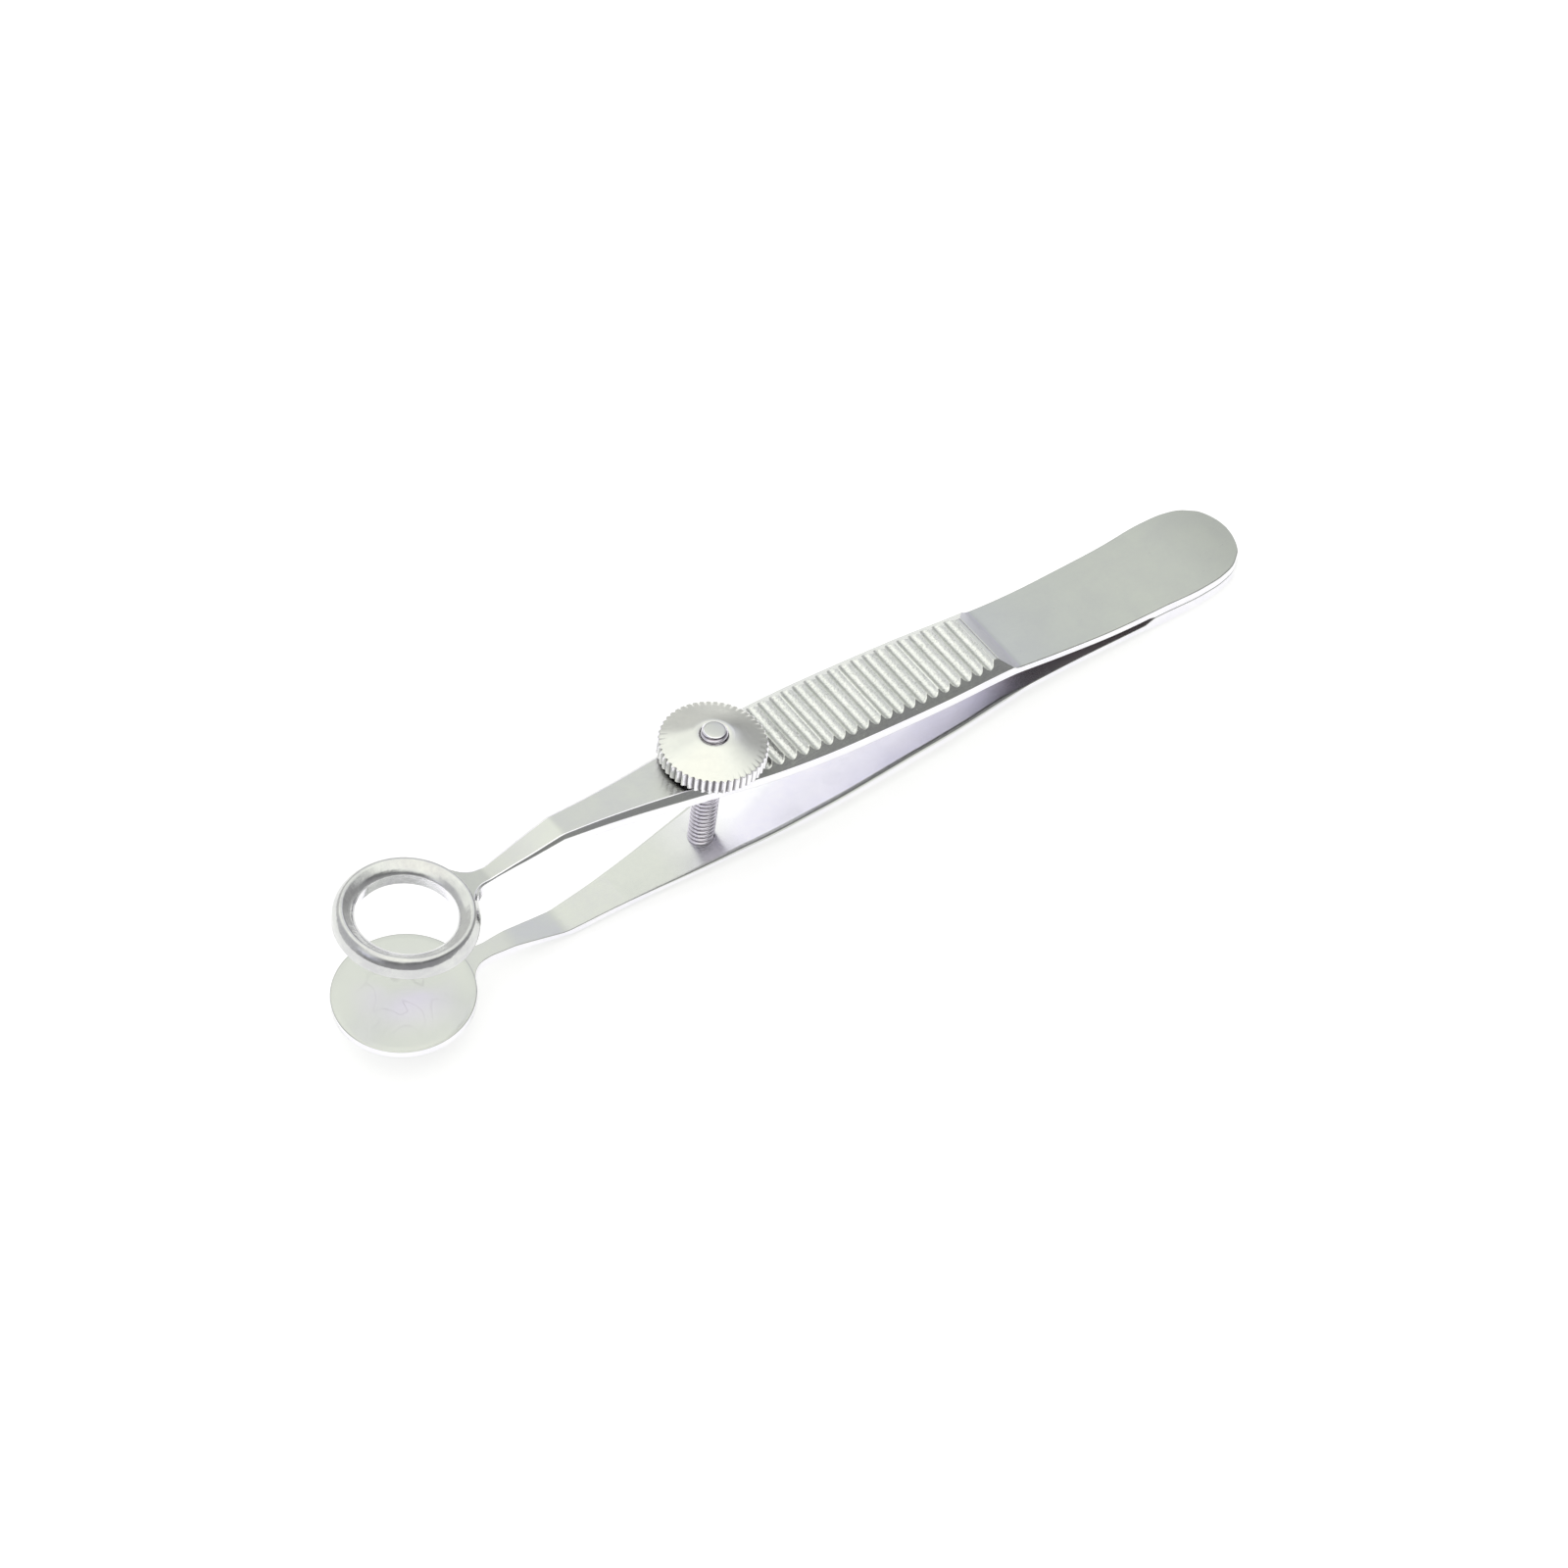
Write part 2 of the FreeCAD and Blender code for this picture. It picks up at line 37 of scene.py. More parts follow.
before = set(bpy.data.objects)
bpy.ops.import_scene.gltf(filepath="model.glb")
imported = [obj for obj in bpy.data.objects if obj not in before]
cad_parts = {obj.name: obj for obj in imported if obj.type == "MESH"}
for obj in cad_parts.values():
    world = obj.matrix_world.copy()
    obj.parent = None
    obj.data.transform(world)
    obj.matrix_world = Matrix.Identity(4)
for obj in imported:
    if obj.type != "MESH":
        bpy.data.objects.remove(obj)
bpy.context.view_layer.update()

MM = 0.001
SHIFT = -38.05

# Camera of the photograph: place in millimetres, view direction and the picture's right.
CAMERA_PLACE = Vector((-133.825, -200.6, 321.66)) * MM
CAMERA_LOOK = Vector((0.3304, 0.5014, -0.7997)).normalized()
CAMERA_RIGHT = Vector((0.8150, -0.5789, -0.0263))
PICTURE_SIDE = 1600
FOCAL_PIXELS = 5050.1
SENSOR = 36.0

# Floor: its grey as a surface, and the glow that makes it white to the camera and in reflections.
FLOOR_REACH = 4.0
FLOOR_LEVEL = -0.02
FLOOR_GREY = 0.60
FLOOR_GLOW = 0.62

# Places along the arms.
CREASE = (15.0, 13.29)
SHANK_END = 33.0
GRIP_END_X = 56.0
GRIP_END = (GRIP_END_X, 6.0)
LEAF_X = 57.3
WELD_X = 71.2
NOSE_START = 81.0
NOSE_HALF = 2.75
NOSE_X = 81.85
TAIL_END = 82.35

# Ring and plate.
RING_X = 1.1
RING_HEIGHT = 11.969
RING_PITCH = math.radians(9.71)
RING_EDGE = 6.738
RING_BITE = 5.04
PLATE_HEIGHT = 3.5
PLATE_PITCH = math.radians(2.86)
PLATE_RADIUS = 5.75
PLATE_THICKNESS = 0.9
PLATE_EDGE = 5.743

# Serrations of the grip.
GROOVE_RADIUS = 0.6
GROOVE_DEPTH = 0.38
GROOVE_PITCH = 1.17
GROOVE_COUNT = 20
GROOVE_START = 33.1

# Stud and nut, measured along the leaning axis of the stud.
STUD_X = 28.2
STUD_Z = 1.6
STUD_LEAN = math.radians(9.0)
STUD_RADIUS = 1.1
STUD_LENGTH = 12.45
THREAD_START = -0.3
THREAD_TOP = STUD_LENGTH - 0.12
THREAD_PITCH = 0.45
THREAD_DEPTH = 0.24
NUT_LOW = 9.54
NUT_EDGE = 10.99
NUT_PEAK = 11.97
NUT_RADIUS = 4.43
NUT_BORE = 1.15
NUT_TEETH = 48
TOOTH_DEPTH = 0.26

# Half widths of the arms: at their roots by the distance from the edge of the ring or plate, and
# after that by station.
ROOT_HALF_WIDTHS = [
    (-1.8, 3.12), (-1.15, 2.78), (-0.55, 2.2), (0.0, 1.5), (0.65, 1.0), (1.7, 0.77), (3.2, 0.85),
]
ARM_HALF_WIDTHS = [
    (12.0, 1.07), (15.0, 1.33), (18.5, 1.6), (22.0, 2.0), (25.5, 2.5), (29.3, 3.02), (33.0, 3.48),
    (38.0, 3.83), (44.0, 3.92), (50.0, 3.87), (LEAF_X, 3.62), (62.0, 3.76), (67.0, 4.0), (72.0, 4.14),
    (76.25, 4.33), (78.4, 4.135), (79.9, 3.63), (NOSE_START, NOSE_HALF),
]
# The lower arm is this much wider on each side.
LOWER_WIDER = [(30.0, 0.0), (36.0, 0.2), (52.0, 0.2), (66.0, 0.0)]

# Depth of the sloping facets by station, and their width as a multiple of the depth.
FACETS = [
    (5.0, 0.34), (6.4, 0.30), (7.4, 0.18), (8.4, 0.12), (9.3, 0.12), (12.0, 0.216), (15.0, 0.328),
    (18.5, 0.416), (22.0, 0.496), (25.5, 0.576), (29.3, 0.68), (33.0, 0.752), (38.0, 0.8), (58.6, 0.8),
]
FACET_SPREAD = [(9.3, 0.84), (28.0, 0.84), (35.0, 1.35), (58.6, 1.35)]
UPPER_FACET_START = 4.9
LOWER_FACET_START = 9.3
FACET_END = 58.6
LEAST_FACET = 0.07

# Rounding of the arms' long edges; the lower arm's inner edges are rounder from the stud to the end
# of the grip.
SOFT_EDGE = 0.06
INNER_EDGE = 0.08
LOWER_INNER_EDGE = [(20.0, INNER_EDGE), (31.0, 0.3), (56.0, 0.3), (58.5, INNER_EDGE)]

# Side profiles: corners, and for a round side its middle point by the number of its first corner.
GRIP_SLOPE = (GRIP_END[1] - CREASE[1]) / (GRIP_END[0] - CREASE[0])
UPPER_FRONT = [(4.998, 12.98), (8.6, 12.3), CREASE]
UPPER_OUTER = (UPPER_FRONT + [
    GRIP_END, (LEAF_X, 4.76), (WELD_X, 2.4), (TAIL_END, 1.62),
], {4: (64.25, 3.27)})
UPPER_INNER = ([
    (4.998, 11.512), (8.6, 11.22), (15.0, 12.15), (22.0, 10.605), (38.0, 7.45), (LEAF_X, 4.02),
    (70.7, 1.682), (WELD_X, 1.46), (TAIL_END, 0.791),
], {5: (64.25, 2.53)})
LOWER_GRIP_START = (34.0, 0.42)
LOWER_GRIP_END = (GRIP_END_X, 0.28)
LOWER_GRIP_SLOPE = (LOWER_GRIP_END[1] - LOWER_GRIP_START[1]) / (LOWER_GRIP_END[0] - LOWER_GRIP_START[0])
LOWER_INNER = ([
    (4.003, 3.27), (9.8, 2.56), (14.3, 1.07), (36.0, 2.14), (46.0, 2.25), (LEAF_X, 1.9), (70.2, 1.12),
    (WELD_X, 1.45), (TAIL_END, 0.781),
], {2: (25.0, 1.27), 5: (64.25, 1.58)})
LOWER_OUTER = ([
    (4.003, 2.38), (10.4, 1.42), (15.0, 0.05), (16.0, 0.0), LOWER_GRIP_START, LOWER_GRIP_END,
    (LEAF_X, 1.16), (69.6, 0.454), (72.2, 0.0), (TAIL_END, 0.0),
], {3: (25.0, 0.1), 6: (63.85, 0.892)})

# Faces in which the sloping facets are cut, carried on past the end of the grip.
FACE_END = 60.0
UPPER_FACE = UPPER_FRONT + [(FACE_END, CREASE[1] + GRIP_SLOPE * (FACE_END - CREASE[0]))]
LOWER_FACE = [
    (4.003, 2.4), (10.4, 1.42), (15.0, 0.05), (16.0, 0.0), (20.5, 0.0126), (25.0, 0.1), (29.5, 0.231),
    LOWER_GRIP_START, (FACE_END, 0.255),
]

# Radius and height of the ring's outline: outer wall, crest, inner bevel and inner wall.
RING_PROFILE = [
    (4.0, 0.0), (5.62, 0.0), (5.69, 0.03), (5.72, 0.1), (5.72, 0.5), (5.72, 0.88), (5.705, 0.98),
    (5.67, 1.08), (5.60, 1.22), (5.46, 1.44), (5.33, 1.60), (5.22, 1.67), (5.13, 1.7), (5.03, 1.705),
    (4.96, 1.69), (4.86, 1.64), (4.70, 1.56), (4.52, 1.465), (4.40, 1.40), (4.32, 1.345), (4.20, 1.24),
    (4.10, 1.14), (4.03, 1.04), (4.0, 0.96), (4.0, 0.5), (4.0, 0.03),
]
RING_INNER_WALL = (0, 23, 24, 25)
PLATE_PROFILE = [
    (0.02, -PLATE_THICKNESS), (3.0, -PLATE_THICKNESS), (5.5, -PLATE_THICKNESS),
    (5.62, 0.01 - PLATE_THICKNESS), (5.71, 0.06 - PLATE_THICKNESS), (PLATE_RADIUS, 0.16 - PLATE_THICKNESS),
    (PLATE_RADIUS, -0.3), (PLATE_RADIUS, -0.11), (5.735, -0.05), (5.69, -0.014), (5.62, 0.0), (5.2, 0.0),
    (3.0, 0.0), (0.02, 0.0),
]
PLATE_WALL = (5, 6)
RIVET_HOLE = [
    (0.02, -2.4), (1.27, -2.4), (1.27, -1.5), (0.82, -1.05), (0.82, -0.32), (1.12, -0.32), (1.12, 1.2),
    (0.02, 1.2),
]
STUD_FOOT = [(0.02, -1.3), (0.78, -1.3), (0.8, -1.05), (0.8, -0.34), (0.9, -0.31)]
STUD_TIP = [
    (0.93, STUD_LENGTH - 0.1), (0.86, STUD_LENGTH - 0.055), (0.7, STUD_LENGTH - 0.03),
    (0.35, STUD_LENGTH - 0.005), (0.02, STUD_LENGTH),
]
NUT_PROFILE = [
    (NUT_BORE, NUT_LOW + 0.08), (NUT_BORE + 0.08, NUT_LOW), (2.8, NUT_LOW), (4.02, NUT_LOW),
    (4.1, NUT_LOW + 0.01), (4.26, NUT_LOW + 0.1), (4.40, NUT_LOW + 0.18), (NUT_RADIUS, NUT_LOW + 0.24),
    (NUT_RADIUS, NUT_LOW + 0.8), (NUT_RADIUS, NUT_EDGE - 0.12), (4.40, NUT_EDGE - 0.06),
    (4.33, NUT_EDGE - 0.015), (4.26, NUT_EDGE + 0.015), (4.14, NUT_EDGE + 0.055), (3.6, NUT_EDGE + 0.245),
    (3.0, NUT_EDGE + 0.455), (2.3, NUT_EDGE + 0.70), (1.7, NUT_EDGE + 0.885), (1.45, NUT_PEAK - 0.04),
    (1.28, NUT_PEAK - 0.035), (NUT_BORE, NUT_PEAK - 0.1),
]


def axis_frame(x, z, lean):
    """Matrix that stands a turned piece at (x, z), its own axis leaning towards the tail."""
    return Matrix.Translation((x + SHIFT, 0, z)) @ Matrix.Rotation(lean, 4, "Y")


RING_PLACE = axis_frame(RING_X, RING_HEIGHT, RING_PITCH)
PLATE_PLACE = axis_frame(0.0, PLATE_HEIGHT, PLATE_PITCH)
STUD_PLACE = axis_frame(STUD_X, STUD_Z, STUD_LEAN)


def clamp(value, low, high):
    return max(low, min(high, value))


def between(table, x):
    """Value of a table of (station, value) pairs at x, straight between stations."""
    if x <= table[0][0]:
        return table[0][1]
    for (x0, y0), (x1, y1) in zip(table, table[1:]):
        if x <= x1:
            return y0 + (y1 - y0) * (x - x0) / (x1 - x0)
    return table[-1][1]


def curved(table, x):
    """Smooth curve through a table of (station, value) pairs."""
    last = len(table) - 1
    i = 0
    while i < last - 1 and x > table[i + 1][0]:
        i += 1
    (x0, y0), (x1, y1) = table[i], table[i + 1]

    def slope(k):
        if k == 0 or k == last:
            a, b = (0, 1) if k == 0 else (last - 1, last)
            return (table[b][1] - table[a][1]) / (table[b][0] - table[a][0])
        before = (table[k][1] - table[k - 1][1]) / (table[k][0] - table[k - 1][0])
        after = (table[k + 1][1] - table[k][1]) / (table[k + 1][0] - table[k][0])
        run_before = table[k][0] - table[k - 1][0]
        run_after = table[k + 1][0] - table[k][0]
        return (before * run_after + after * run_before) / (run_before + run_after)

    run = x1 - x0
    t = clamp((x - x0) / run, 0.0, 1.0)
    s0 = slope(i) * run
    s1 = slope(i + 1) * run
    return ((2 * t**3 - 3 * t**2 + 1) * y0 + (t**3 - 2 * t**2 + t) * s0
            + (3 * t**2 - 2 * t**3) * y1 + (t**3 - t**2) * s1)


def circle_through(a, m, b):
    """Centre and radius of the circle through three points."""
    ax, ay = a
    bx, by = m
    cx, cy = b
    d = 2 * (ax * (by - cy) + bx * (cy - ay) + cx * (ay - by))
    sa = ax * ax + ay * ay
    sb = bx * bx + by * by
    sc = cx * cx + cy * cy
    x = (sa * (by - cy) + sb * (cy - ay) + sc * (ay - by)) / d
    y = (sa * (cx - bx) + sb * (ax - cx) + sc * (bx - ax)) / d
    return x, y, math.hypot(ax - x, ay - y)


def height(line, arcs, x):
    """Height of a side profile at x."""
    for i, (a, b) in enumerate(zip(line, line[1:])):
        if x <= b[0] or i == len(line) - 2:
            if i in arcs:
                cx, cy, radius = circle_through(a, arcs[i], b)
                side = 1 if arcs[i][1] > cy else -1
                return cy + side * math.sqrt(radius**2 - (x - cx)**2)
            return a[1] + (b[1] - a[1]) * (x - a[0]) / (b[0] - a[0])


def softened(line, arcs, x, reach):
    """Height with the corners of the profile rounded over a short reach."""
    total = 0.0
    steps = (-1.0, -0.66, -0.33, 0.0, 0.33, 0.66, 1.0)
    weights = (0.35, 0.75, 1.0, 1.1, 1.0, 0.75, 0.35)
    for step, weight in zip(steps, weights):
        total += weight * height(line, arcs, x + step * reach)
    return total / sum(weights)


def half_width(x, edge):
    """Half width of an arm; edge is the station where its ring or plate ends."""
    if x >= NOSE_START:
        cx, cy, radius = circle_through((NOSE_START, NOSE_HALF), (NOSE_X, 0), (NOSE_START, -NOSE_HALF))
        return math.sqrt(max(radius**2 - (x - cx)**2, 0.0))
    return curved([(edge + past, half) for past, half in ROOT_HALF_WIDTHS] + ARM_HALF_WIDTHS, x)


def facet_of(x, start):
    return between(FACETS, x) if start <= x <= FACET_END else LEAST_FACET


def has_grooves(x):
    return GROOVE_START - 1.0 < x < GRIP_END_X + 0.2


def groove_level(x, line_start, slope, outward):
    """Level of the serrations' floor at x, or None on the land between them."""
    turn = math.atan(slope)
    above = GROOVE_RADIUS - GROOVE_DEPTH
    best = None
    for k in range(GROOVE_COUNT):
        along = k * GROOVE_PITCH
        cx = GROOVE_START + along * math.cos(turn) - outward * above * math.sin(turn)
        if abs(x - cx) < GROOVE_RADIUS:
            cz = line_start + along * math.sin(turn) + outward * above * math.cos(turn)
            level = cz - outward * math.sqrt(GROOVE_RADIUS**2 - (x - cx)**2)
            if best is None or outward * level < outward * best:
                best = level
    return best


def grooved(x, plain, line_start, slope, outward):
    """Outer face with its serrations, their crests slightly rounded."""
    total = 0.0
    steps = (-0.05, -0.025, 0.0, 0.025, 0.05)
    for step in steps:
        level = groove_level(x + step, line_start, slope, outward)
        if level is None or outward * level > outward * plain:
            level = plain
        total += level
    return total / len(steps)


def stations(start, profile_corners):
    """Stations of a loft, closer together at its root, corners, serrations, weld and nose."""
    fine = [(32.2, 57.2, 0.09), (start, start + 4.6, 0.12), (69.4, 72.8, 0.12)]
    fine += [(corner - 0.7, corner + 0.7, 0.1) for corner in profile_corners]
    coarse_step = 0.4
    places = []
    x = start
    while x < NOSE_START - 0.2:
        places.append(x)
        steps = [step for low, high, step in fine if low - 0.001 <= x < high]
        x += min(steps) if steps else coarse_step
    nose_steps = 14
    for k in range(nose_steps + 1):
        angle = 0.5 * math.pi * k / nose_steps
        places.append(NOSE_START - 0.15 + (NOSE_X - 0.004 - NOSE_START + 0.15) * math.sin(angle))
    return places


def rounded_corner(before, corner, after, radius):
    """Points that round one corner of a section, with a support point on each side."""
    steps = 3
    a = Vector(before) - Vector(corner)
    b = Vector(after) - Vector(corner)
    reach = min(radius, 0.42 * a.length, 0.42 * b.length)
    support = 1.15 * reach
    start = Vector(corner) + a.normalized() * reach
    end = Vector(corner) + b.normalized() * reach
    points = [Vector(corner) + a.normalized() * support]
    for k in range(steps + 1):
        t = k / steps
        points.append((1 - t)**2 * start + 2 * t * (1 - t) * Vector(corner) + t**2 * end)
    points.append(Vector(corner) + b.normalized() * support)
    return points


def section(half, outer, inner, face, facet, spread, edge_radius, outward):
    """Closed section of an arm in the plane across it, starting in the middle of the outer face."""
    least = min(1.0, LEAST_FACET / facet)
    share = clamp(outward * (outer - face + outward * facet) / facet, least, 1.0)
    share = min(share, 0.5 * abs(outer - inner) / facet, 0.6 * half / (facet * spread))
    corners = [
        (0.0, outer),
        (half - share * facet * spread, outer),
        (half, outer - outward * share * facet),
        (half, inner),
        (0.0, inner),
    ]
    side = [Vector(corners[0])]
    for k, radius in ((1, SOFT_EDGE), (2, SOFT_EDGE), (3, edge_radius)):
        side += rounded_corner(corners[k - 1], corners[k], corners[k + 1], radius)
    side.append(Vector(corners[4]))
    mirrored = [Vector((-p.x, p.y)) for p in side[-2:0:-1]]
    return side + mirrored


def edge_of(k, count):
    """Number of a section's edge, counted from the middle of the outer face on either side."""
    return min(k, count - 1 - k)


def new_piece(name, vertices, faces, materials, indices=None):
    """Mesh object from vertices in the frame of the model, in millimetres."""
    mesh = bpy.data.meshes.new(name)
    mesh.from_pydata([Vector(v) * MM for v in vertices], [], faces)
    mesh.update()
    piece = bpy.data.objects.new(name, mesh)
    bpy.context.scene.collection.objects.link(piece)
    for material in materials:
        mesh.materials.append(material)
    if indices:
        mesh.polygons.foreach_set("material_index", indices)
    return piece


def shade(piece, angle=32.0, seam=None):
    """Smooth shading up to an angle, with a sharp seam between one material and all others."""
    mesh = piece.data
    mesh.polygons.foreach_set("use_smooth", [True] * len(mesh.polygons))
    mesh.set_sharp_from_angle(angle=math.radians(angle))
    if seam is None:
        return
    marked = bmesh.new()
    marked.from_mesh(mesh)
    for edge in marked.edges:
        kinds = {face.material_index for face in edge.link_faces}
        if seam in kinds and len(kinds) > 1:
            edge.smooth = False
    marked.to_mesh(mesh)
    marked.free()


def loft(name, places, sections, materials, choose):
    """Closed surface through one section at each station."""
    count = len(sections[0])
    vertices = []
    for x, ring in zip(places, sections):
        vertices += [(x + SHIFT, p.x, p.y) for p in ring]
    faces = []
    indices = []
    for i in range(len(places) - 1):
        for k in range(count):
            a = i * count + k
            b = i * count + (k + 1) % count
            faces.append((a, b, b + count, a + count))
            indices.append(choose(0.5 * (places[i] + places[i + 1]), k, count))
    faces.append(tuple(reversed(range(count))))
    faces.append(tuple(range((len(places) - 1) * count, len(places) * count)))
    indices += [0, 0]
    return new_piece(name, vertices, faces, materials, indices)


def revolve(name, profile, place, segments, materials, closed=True, choose=None, radius_at=None,
            caps=(0, 0)):
    """Surface of revolution of (radius, height) points; an open profile ends on its axis, in two caps."""
    vertices = []
    for radius, level in profile:
        for k in range(segments):
            angle = 2 * math.pi * k / segments
            r = radius_at(radius, level, k) if radius_at else radius
            vertices.append(place @ Vector((r * math.cos(angle), r * math.sin(angle), level)))
    faces = []
    indices = []
    rows = len(profile)
    for i in range(rows if closed else rows - 1):
        for k in range(segments):
            j = (i + 1) % rows
            after = (k + 1) % segments
            faces.append((i * segments + k, i * segments + after, j * segments + after, j * segments + k))
            indices.append(choose(i) if choose else 0)
    if not closed:
        faces.append(tuple(reversed(range(segments))))
        faces.append(tuple(range((rows - 1) * segments, rows * segments)))
        indices += caps
    return new_piece(name, vertices, faces, materials, indices)


def combine(piece, other, operation):
    """Boolean of two closed meshes, applied at once; the other one is removed."""
    modifier = piece.modifiers.new("cut", "BOOLEAN")
    modifier.operation = operation
    modifier.object = other
    modifier.solver = "EXACT"
    depsgraph = bpy.context.evaluated_depsgraph_get()
    mesh = bpy.data.meshes.new_from_object(piece.evaluated_get(depsgraph))
    old = piece.data
    piece.modifiers.remove(modifier)
    piece.data = mesh
    mesh.name = piece.name
    bpy.data.meshes.remove(old)
    bpy.data.objects.remove(other, do_unlink=True)
    cleaned = bmesh.new()
    cleaned.from_mesh(mesh)
    bmesh.ops.remove_doubles(cleaned, verts=cleaned.verts, dist=0.006 * MM)
    cleaned.to_mesh(mesh)
    cleaned.free()


def node(tree, kind, **values):
    made = tree.nodes.new(kind)
    for key, value in values.items():
        setattr(made, key, value)
    return made


def noise(tree, vector, scale, detail, roughness=0.5, distortion=0.0):
    made = node(tree, "ShaderNodeTexNoise")
    made.inputs["Scale"].default_value = scale
    made.inputs["Detail"].default_value = detail
    made.inputs["Roughness"].default_value = roughness
    made.inputs["Distortion"].default_value = distortion
    tree.links.new(vector, made.inputs["Vector"])
    return made.outputs["Fac"]


def ramp(tree, value, stops):
    """Colour ramp; a stop is a position with three numbers for a colour or one for a grey."""
    made = node(tree, "ShaderNodeValToRGB")
    elements = made.color_ramp.elements
    while len(elements) < len(stops):
        elements.new(0.5)
    for element, (position, colour) in zip(elements, stops):
        element.position = position
        element.color = (*colour, 1.0) if isinstance(colour, tuple) else (colour, colour, colour, 1.0)
    tree.links.new(value, made.inputs["Fac"])
    return made.outputs["Color"]


def scaled(tree, value, low, high, from_low=0.3, from_high=0.7):
    made = node(tree, "ShaderNodeMapRange")
    made.inputs["From Min"].default_value = from_low
    made.inputs["From Max"].default_value = from_high
    made.inputs["To Min"].default_value = low
    made.inputs["To Max"].default_value = high
    tree.links.new(value, made.inputs["Value"])
    return made.outputs["Result"]


def math_node(tree, operation, a, b=None):
    made = node(tree, "ShaderNodeMath", operation=operation)
    for socket, value in zip(made.inputs, (a, b)):
        if value is None:
            continue
        if isinstance(value, (int, float)):
            socket.default_value = value
        else:
            tree.links.new(value, socket)
    return made.outputs["Value"]


def mixed(tree, factor, a, b):
    """Mix of two colours, each a socket or three numbers; a Mix node keeps them in its sockets 6 and 7."""
    made = node(tree, "ShaderNodeMix", data_type="RGBA")
    tree.links.new(factor, made.inputs["Factor"])
    for socket, value in ((made.inputs[6], a), (made.inputs[7], b)):
        if isinstance(value, tuple):
            socket.default_value = (*value, 1.0)
        else:
            tree.links.new(value, socket)
    return made.outputs[2]


def times(tree, a, b):
    """Product of two colours."""
    made = node(tree, "ShaderNodeVectorMath", operation="MULTIPLY")
    tree.links.new(a, made.inputs[0])
    tree.links.new(b, made.inputs[1])
    return made.outputs["Vector"]


def separate(tree, vector):
    made = node(tree, "ShaderNodeSeparateXYZ")
    tree.links.new(vector, made.inputs["Vector"])
    return made.outputs


def radius_of(tree, split):
    square = math_node(tree, "MULTIPLY", split["X"], split["X"])
    other = math_node(tree, "MULTIPLY", split["Y"], split["Y"])
    return math_node(tree, "SQRT", math_node(tree, "ADD", square, other))


def place_in_mm(tree, place=None, stretch=(1, 1, 1)):
    """Object position in millimetres, seen from the frame of a turned piece if one is given."""
    coordinates = node(tree, "ShaderNodeTexCoord")
    scale = node(tree, "ShaderNodeVectorMath", operation="SCALE")
    scale.inputs["Scale"].default_value = 1 / MM
    tree.links.new(coordinates.outputs["Object"], scale.inputs[0])
    vector = scale.outputs["Vector"]
    if place is not None:
        moved = node(tree, "ShaderNodeVectorMath", operation="SUBTRACT")
        moved.inputs[1].default_value = place.translation
        tree.links.new(vector, moved.inputs[0])
        turned = node(tree, "ShaderNodeVectorRotate", rotation_type="Y_AXIS")
        turned.inputs["Angle"].default_value = -place.to_euler().y
        tree.links.new(moved.outputs["Vector"], turned.inputs["Vector"])
        vector = turned.outputs["Vector"]
    mapping = node(tree, "ShaderNodeMapping")
    mapping.inputs["Scale"].default_value = stretch
    tree.links.new(vector, mapping.inputs["Vector"])
    return mapping.outputs["Vector"]


def polar(tree, vector, along_radius, along_angle, along_axis):
    """Coordinates that run with the tool marks of a turned face."""
    split = separate(tree, vector)
    radius = radius_of(tree, split)
    angle = math_node(tree, "ARCTAN2", split["Y"], split["X"])
    joined = node(tree, "ShaderNodeCombineXYZ")
    tree.links.new(math_node(tree, "MULTIPLY", radius, along_radius), joined.inputs["X"])
    tree.links.new(math_node(tree, "MULTIPLY", angle, along_angle), joined.inputs["Y"])
    tree.links.new(math_node(tree, "MULTIPLY", split["Z"], along_axis), joined.inputs["Z"])
    return joined.outputs["Vector"]


def station_ramp(tree, stops):
    """Colour along the clamp, from (station, colour) pairs."""
    reach = 100.0
    split = separate(tree, place_in_mm(tree))
    along = scaled(tree, split["X"], 0.0, 1.0, SHIFT, SHIFT + reach)
    return ramp(tree, along, [(x / reach, colour) for x, colour in stops])


def thread_shade(tree, colour):
    """Painted shade in the roots and painted highlights on the crests, following the turns of the thread.
    """
    split = separate(tree, place_in_mm(tree, STUD_PLACE))
    angle = math_node(tree, "ARCTAN2", split["Y"], split["X"])
    turns = math_node(tree, "SUBTRACT", math_node(tree, "DIVIDE", split["Z"], THREAD_PITCH),
                      math_node(tree, "DIVIDE", angle, 2 * math.pi))
    phase = math_node(tree, "FRACT", turns)
    return times(tree, colour, ramp(tree, phase, [
        (0.00, 1.0), (0.20, (0.92, 0.91, 0.94)), (0.34, (0.24, 0.22, 0.24)), (0.50, (0.10, 0.09, 0.10)),
        (0.64, (0.18, 0.16, 0.18)), (0.80, (0.86, 0.84, 0.88)), (1.00, 1.0),
    ]))


def knurl_shade(tree, colour):
    """Painted highlights on the teeth and painted shade in the gaps on the side of the nut; its top keeps
    its colour.
    """
    split = separate(tree, place_in_mm(tree, STUD_PLACE))
    height_in_tooth = scaled(tree, radius_of(tree, split), 0.0, 1.0, NUT_RADIUS - TOOTH_DEPTH, NUT_RADIUS)
    teeth = ramp(tree, height_in_tooth, [
        (0.0, (0.30, 0.29, 0.30)), (0.3, (0.48, 0.47, 0.49)), (0.6, (0.92, 0.91, 0.95)),
        (1.0, (0.98, 0.97, 1.0)),
    ])
    side = scaled(tree, split["Z"], 1.0, 0.0, NUT_EDGE - 0.03, NUT_EDGE + 0.02)
    return mixed(tree, side, colour, teeth)


